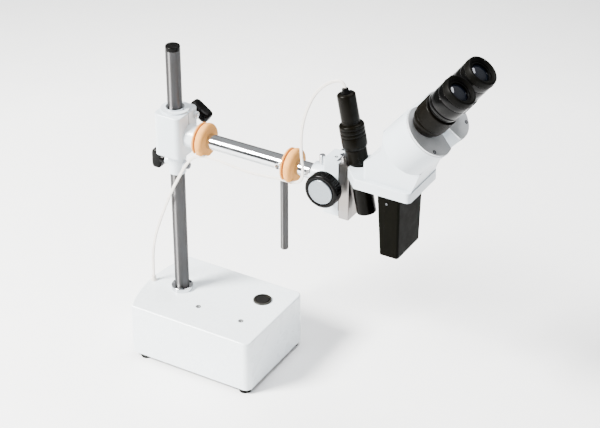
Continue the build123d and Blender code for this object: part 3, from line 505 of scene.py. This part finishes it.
def smoothLine(name, points):
    # the route as one open NURBS spline, read back as the points of its line
    curve = bpy.data.curves.new(name, "CURVE")
    curve.dimensions = "3D"
    curve.resolution_u = lead["perSpan"]
    spline = curve.splines.new("NURBS")
    spline.points.add(len(points) - 1)
    for spot, place in zip(spline.points, points):
        spot.co = (place[0] + axisX, place[1], place[2], 1)
    spline.order_u = 3
    spline.use_endpoint_u = True
    holder = placed(name, curve)
    line = bpy.data.meshes.new_from_object(holder)
    found = np.array([v.co for v in line.vertices])
    bpy.data.objects.remove(holder)
    bpy.data.meshes.remove(line)
    return found


def lengthOf(line):
    return float(np.linalg.norm(np.diff(line, axis=0), axis=1).sum())


def leadPiece(name, line, cadNode):
    # half width * cos t across, half thickness * sin t up, and up made less in the middle, between the two cores
    t = np.linspace(0, 2 * math.pi, lead["steps"], endpoint=False)
    across = lead["halfWidth"] * np.cos(t)
    waist = 1 - lead["pinch"] * np.exp(-(across / (lead["halfWidth"] * lead["pinchReach"])) ** 2)
    section = np.stack([across, lead["halfThickness"] * np.sin(t) * waist], 1)
    flat = np.cross(np.gradient(line, axis=0), np.array([0.0, 1.0, 0.0]))
    piece = solid(name, [carried(section, line, flat)], None, "white_vinyl", replaced=(cadNode,))
    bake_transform(piece)


def cutAt(line, share):
    # the line in two at a share of its points, with that point in both
    k = int(len(line) * share)
    return line[:k + 1], line[k:]


riserLow, riserHigh = cutAt(smoothLine("riserRoute", lead["riser"]), lead["riserCut"])
leadPiece("leadRiserLower", riserLow, "lead_riser")
leadPiece("leadRiserUpper", riserHigh, "lead_riser")
alongBoom, toLamp = cutAt(smoothLine("loopRoute", lead["loop"]), lead["loopCut"])
leadPiece("leadAlongBoom", alongBoom, "lead_loop")
leadPiece("leadToLamp", toLamp, "lead_loop")
riserLength = lengthOf(riserLow) + lengthOf(riserHigh)
loopLength = lengthOf(alongBoom) + lengthOf(toLamp)
print("lead laid:", round(riserLength, 4), round(loopLength, 4))


eye = {
    "place": (359.364, 27.5, 436.38),  # where the axis leaves the end plate, in mm
    "axis": (0.608761, 0, 0.793353),
    # distance along the axis and radius, in mm, each loop running out over the outside and back through the bore
    "collar": [(1.9, 10.2), (1.9, 15.6), (3.2, 16.6), (6.2, 17.4), (9.0, 19.4), (12.4, 20.3), (15.0, 19.6),
               (15.9, 17.6), (36.5, 17.45), (36.5, 15.2), (1.9, 15.1)],
    "ring": [(16.35, 17.6), (16.35, 20.8), (17.2, 21.5), (35.4, 21.5), (36.2, 20.8), (36.2, 17.6)],
    "eyepiece": [(10.2, 12.6), (10.2, 14.9), (37.0, 14.9), (37.2, 18.6), (38.0, 19.6), (39.0, 19.6), (39.2, 18.3),
                 (40.0, 18.3), (40.2, 20.2), (43.4, 20.4), (43.6, 18.7), (44.5, 18.7), (44.8, 20.3), (57.6, 20.3),
                 (58.0, 19.7), (58.4, 20.4), (65.6, 20.2), (66.0, 18.0), (71.0, 17.4), (71.0, 12.2), (64.2, 12.2),
                 (64.2, 11.1), (60.2, 11.1), (60.0, 12.4)],
    "eyecup": [(66.2, 17.7), (66.2, 20.2), (66.8, 20.7), (68.4, 20.7), (72.6, 20.1), (74.3, 19.7), (74.9, 18.9),
               (74.8, 17.2), (73.4, 15.4), (71.6, 13.6), (71.4, 17.6)],
    "lens": [(64.3, 11.9), (68.0, 11.9), (69.4, 10.2), (70.1, 7.0), (70.4, 3.0)],
    "ribbed": (17.6, 35.0), "ribs": 150, "ribDepth": 0.16, "ribFade": 1.2, "ribRings": 12,
    "barrelEasing": 0.25, "cupEasing": 0.6,
}
ribs = grooves(eye["ribs"], eye["ribDepth"], *eye["ribbed"], eye["ribFade"], 2)
ribbedPart = [(s, eye["ring"][2][1]) for s in np.linspace(*eye["ribbed"], eye["ribRings"])]
ringProfile = [*eye["ring"][:3], *ribbedPart, *eye["ring"][3:]]

for hand, side in (("left", -1), ("right", 1)):
    base = at(eye["place"][0], side * eye["place"][1], eye["place"][2])
    housing, holder = hand + "_housing", hand + "_eyepiece"
    ringBody, ringNode = {"left": ("dioptre", ("dioptre_ring",)), "right": (housing, ())}[hand]
    solid("eyeTube_" + hand, [bored(eye["collar"], base, eye["axis"])], housing, "black_anodised",
          replaced=("eye_tube_" + hand,), looped=True)
    ring = bored(ringProfile, base, eye["axis"], 4 * eye["ribs"], ribs)
    solid("focusRing_" + hand, [ring], ringBody, "black_anodised",
          mat=ringFinish, replaced=ringNode, looped=True, crease=60)
    barrel = softenedLoop(eye["eyepiece"], eye["barrelEasing"])
    solid("eyepieceBarrel_" + hand, [bored(barrel, base, eye["axis"])], holder, "black_anodised",
          mat=barrelFinish, replaced=("eyepiece_" + hand,), looped=True)
    cup = softenedLoop(eye["eyecup"], eye["cupEasing"])
    solid("eyecupRubber_" + hand, [bored(cup, base, eye["axis"])], holder, "black_rubber",
          replaced=("eyecup_" + hand,), looped=True)
    solid("eyeLens_" + hand, [turned(eye["lens"], base, eye["axis"], 64)], holder, "optical_glass",
          replaced=("eye_lens_" + hand,))
print("eyepieces made")


knob = {
    "axis": (234, 320), "start": 27.4,  # x and z of the shaft, and how far to each side the grips begin, in mm
    # distance out from there and radius, in mm
    "grip": [(0.0, 5.0), (0.0, 19.6), (0.5, 20.8), (1.6, 21.9), (12.9, 22.0), (14.2, 21.2), (14.8, 20.2), (15.0, 18.9),
             (14.6, 17.4), (14.0, 16.15), (12.4, 16.1), (12.0, 5.0)],
    "disc": [(13.9, 15.9), (15.2, 15.9), (15.7, 15.4), (15.8, 14.6), (15.55, 13.0), (15.5, 6.0), (15.5, 1.0)],
    "straight": (1.6, 12.9), "radius": 21.95,  # the part of the grip that carries the flutes
    "fluted": (1.4, 13.2), "flutes": 44, "fluteDepth": 0.45, "fluteFade": 1.5, "fluteRings": 9,
    "easing": 0.3,
}
fluting = grooves(knob["flutes"], knob["fluteDepth"], *knob["fluted"], knob["fluteFade"], 3)
flutedPart = [(s, knob["radius"]) for s in np.linspace(*knob["straight"], knob["fluteRings"])]
gripProfile = [*knob["grip"][:3], *flutedPart, *knob["grip"][5:]]
grips, discs = [], []
for side in (-1, 1):
    base = at(knob["axis"][0], side * knob["start"], knob["axis"][1])
    grips.append(bored(gripProfile, base, (0, side, 0), 8 * knob["flutes"], fluting))
    discs.append(turned(softened(knob["disc"], knob["easing"]), base, (0, side, 0), 96))
solid("focusGrips", grips, "focus_drive", "black_plastic", replaced=("focus_knobs",), looped=True, crease=50)
solid("focusDiscs", discs, "focus_drive", "satin_aluminium", mat=discFinish, replaced=("knob_discs",))


lampPart = {
    "place": (242.6, 443.0), "tilt": 11.5,  # x and z of the axis' top in mm, and degrees off the upright
    # distance down the lamp's axis and radius, in mm
    "cap": [(-0.4, 2.2), (-0.2, 3.4), (1.4, 4.1), (3.6, 4.4), (5.0, 5.2), (6.2, 5.4), (6.3, 6.9), (8.2, 7.3),
            (9.0, 7.0), (9.2, 4.2)],
    "tube": [(6.3, 6.9), (6.3, 9.6), (6.9, 10.6), (8.2, 11.35), (40.8, 11.5), (41.2, 10.9), (44.6, 10.9), (44.8, 13.0),
             (45.4, 14.6), (46.9, 15.4), (49.6, 15.5), (49.8, 14.8), (50.6, 14.8), (50.8, 15.5), (54.6, 15.5),
             (54.9, 14.6), (56.3, 14.6), (56.6, 15.5), (58.9, 15.5), (59.2, 14.6), (60.6, 14.6), (60.9, 15.5),
             (71.6, 15.5), (73.6, 15.2), (75.9, 14.2), (75.9, 9.6), (10.2, 9.6), (10.2, 6.9)],
    "nose": [(76.1, 8.2), (76.1, 13.1), (77.4, 13.5), (93.6, 13.5), (94.6, 13.1), (95.0, 12.25), (161.6, 12.2),
             (162.7, 11.7), (162.9, 10.9), (162.6, 9.7), (150.2, 9.6), (150.2, 8.2)],
    "easing": 0.3,
}
slope = math.radians(lampPart["tilt"])
lampAxis = (math.sin(slope), 0, -math.cos(slope))
lampBase = at(lampPart["place"][0], 0, lampPart["place"][1])
cap = turned(softened(lampPart["cap"], lampPart["easing"]), lampBase, lampAxis, 48)
solid("lampStrainRelief", [cap], "head", "black_plastic", replaced=("lamp_gland",))
for name, loop, cadNode in (("lampBarrelTube", "tube", "lamp_barrel"), ("lampNoseTube", "nose", "lamp_nose")):
    wall = bored(softenedLoop(lampPart[loop], lampPart["easing"]), lampBase, lampAxis)
    solid(name, [wall], "head", "black_anodised", replaced=(cadNode,), looped=True)


wing = {
    # x and z of the knob's axis; along it, where hub and wing start and end; half the wing's length;
    # the stud's start and radius; all in mm
    "clamp": {"place": (15.5, 336), "hub": (25.2, 30), "depth": (25.8, 43), "half": 15.6, "stud": (-15, 3.0)},
    "stop": {"place": (0, 273), "hub": (16.8, 30), "depth": (21.6, 36), "half": 13.8, "stud": (9.8, 2.5)},
    "slope": 34,  # degrees that the clamp's wing dips towards the head
    "thickness": (6.6, 8.4),  # half, at the waist and at the tips
    "shallower": 0.16,  # share of the depth that is gone at the tips
    "closed": 0.0005,  # share of the section that is left at the very tips
    "rings": 41, "steps": 40,
    "hubRadii": (3.4, 6.0, 6.5, 5.6),  # inside and outside at its start, its body, and its end
    "hubChamfer": 0.8, "easing": 0.3,
}


def wingGrip(middle, outward, along, half, depth):
    # rounded squares |a|^5 + |b|^5 = 1 set across the long axis, from tip to tip; their half thickness grows
    # from the waist to the tips with the square of the distance, and (1 - u^6)^(1/3) rounds off both tips
    u = np.sin(np.linspace(-1, 1, wing["rings"]) * math.pi / 2)
    waist, tip = wing["thickness"]
    closing = np.clip(1 - np.abs(u) ** 6, wing["closed"], 1) ** (1 / 3)
    thick = (waist + (tip - waist) * u ** 2) * closing
    deep = (depth / 2) * (1 - wing["shallower"] * u ** 2) * closing
    a, b = roundedSquare(wing["steps"], 0.4)
    outward, along = unit(outward), unit(along)
    broad = np.cross(along, outward)
    spots = (half * u)[:, None, None] * along + (thick[:, None] * a)[:, :, None] * broad
    return np.array(middle) + (spots + (deep[:, None] * b)[:, :, None] * outward) / 1000


def wingKnob(part, outward, along):
    # the wing, its turned hub and the stud that the hub sits on, all on one axis
    foot = at(part["place"][0], 0, part["place"][1])
    near, far = part["depth"]
    start, end = part["hub"]
    inner, face, body, top = wing["hubRadii"]
    chamfer = wing["hubChamfer"]
    hub = [(start, inner), (start, face), (start + chamfer, body), (end - chamfer, body), (end, top)]
    studStart, studRadius = part["stud"]
    return [
        wingGrip(foot + np.array(outward) * (near + far) / 2000, outward, along, part["half"], far - near),
        turned(softened(hub, wing["easing"]), foot, outward, 48),
        turned([(studStart, studRadius), (start + 1, studRadius)], foot, outward, 32),  # 1 mm into the hub
    ]


down = math.radians(wing["slope"])
clampKnob = wingKnob(wing["clamp"], (0, 1, 0), (math.cos(down), 0, -math.sin(down)))
solid("clampWingKnob", clampKnob, "clamp_lock", "black_plastic", replaced=("clamp_knob",))
stopKnob = wingKnob(wing["stop"], (-1, 0, 0), (0, 0, 1))
solid("stopWingKnob", stopKnob, "stop_lock", "black_plastic", replaced=("collar_knob",))


gapShadow = {  # a thin dark strip laid on the joint between focus block and slider, painted shade standing for the shadow in the gap there, in mm
    "x": (243.3, 244.1), "y": (-14.4, -15.12), "z": (283.0, 348.4),
    "easing": 0.2, "narrower": 0.8,  # over the easing, each end is drawn in to that share
    "steps": 32,
}


def bar(x, y, z):
    # a rounded square of power 0.3 stretched to x and y, carried up through a profile that eases both ends
    a, b = roundedSquare(gapShadow["steps"], 0.3)
    rise = np.array([z[0], z[0] + gapShadow["easing"], z[1] - gapShadow["easing"], z[1]])
    shrink = np.array([gapShadow["narrower"], 1, 1, gapShadow["narrower"]])
    wide, deep = (np.outer(shrink, c * abs(ends[1] - ends[0]) / 2) + sum(ends) / 2 for c, ends in ((a, x), (b, y)))
    return at(0, 0, 0) + np.stack([wide, deep, np.repeat(rise[:, None], gapShadow["steps"], 1)], -1) / 1000


# painted shade: a dark strip put where the gap between block and slider shows only shadow
solid("gapShadowStrip", [bar(gapShadow["x"], gapShadow["y"], gapShadow["z"])], "focus_block", "dark_screws")


rodMiddle = middleOf("rod_clamp_screw")
rodX, rodZ = (rodMiddle[0] - axisX) * 1000, rodMiddle[2] * 1000
screw = {
    "steps": 48,
    "seat": -0.4,  # mm sunk into what it sits on
    "shoulder": 0.6,  # share of the height where the dome begins
    "crown": 0.82, "rim": 1.12,  # radii at the top, as shares of the head's and of the socket's
    "core": 0.2,  # the socket floor's inner ring, as a share of the socket's radius
    # places in mm, the way the head faces, then radius and height in mm and the socket's radius and depth as shares
    "rodClamp": ([(rodX, -8.4, rodZ)], (0, -1, 0), (5.4, 4.8, 0.66, 0.75)),
    "endPlate": ([(381.3, -41.2, 416.25), (381.3, 41.2, 416.25)],
                 (math.cos(math.radians(47.5)), 0, math.sin(math.radians(47.5))), (2.3, 0.7, 0.62, 1.6)),
    "blockLug": ([(22.5, 15.5, 340)], (1, 0, 0), (3.0, 1.4, 0.55, 0.7)),
    "focusCap": ([(233.6, -2.5, 349), (236.4, 5.8, 349)], (0, 0, 1), (2.0, 0.5, 0.6, 1.6)),
    "shroud": ([(317.5, -31.4, 322.8)], (0, -1, 0), (1.6, 0.5, 0.6, 1.0)),
}


def socketScrew(place, axis, radius, height, socket, sink):
    # a domed head whose inner rings make a hexagonal socket: socket radius * cos 30 / cos(angle within the sixth),
    # dropped below the top and closed in at the core
    sunk, sixth = height - sink * height, math.pi / 3
    outer = turned([(screw["seat"], radius), (height * screw["shoulder"], radius), (height, radius * screw["crown"]),
                    (height, radius * socket * screw["rim"])], place, axis, screw["steps"])
    t = np.linspace(0, 2 * math.pi, screw["steps"], endpoint=False)
    reach = radius * socket * math.cos(sixth / 2) / np.cos(t % sixth - sixth / 2)
    inner = turned([(height, 1), (sunk, 1), (sunk, screw["core"])], (0, 0, 0), axis, screw["steps"])
    spine = np.array([height, sunk, sunk])[:, None, None] / 1000 * unit(axis)
    return np.concatenate([outer, np.array(place) + spine + (inner - spine) * reach[:, None]])


def screwsOf(kind):
    places, facing, sizes = screw[kind]
    return [socketScrew(at(*place), facing, *sizes) for place in places]


solid("rodClampSocketScrew", screwsOf("rodClamp"), "clamp", "chrome_plate", replaced=("rod_clamp_screw",))
for hand, head in zip(("left", "right"), screwsOf("endPlate")):
    solid("endPlateScrew_" + hand, [head], hand + "_housing", "dark_screws")
solid("blockLugScrew", screwsOf("blockLug"), "clamp", "chrome_plate")
solid("focusCapScrews", screwsOf("focusCap"), "focus_block", "dark_screws")
solid("shroudScrew", screwsOf("shroud"), "head", "dark_screws")
print("knobs, lamp, slide and screws made")
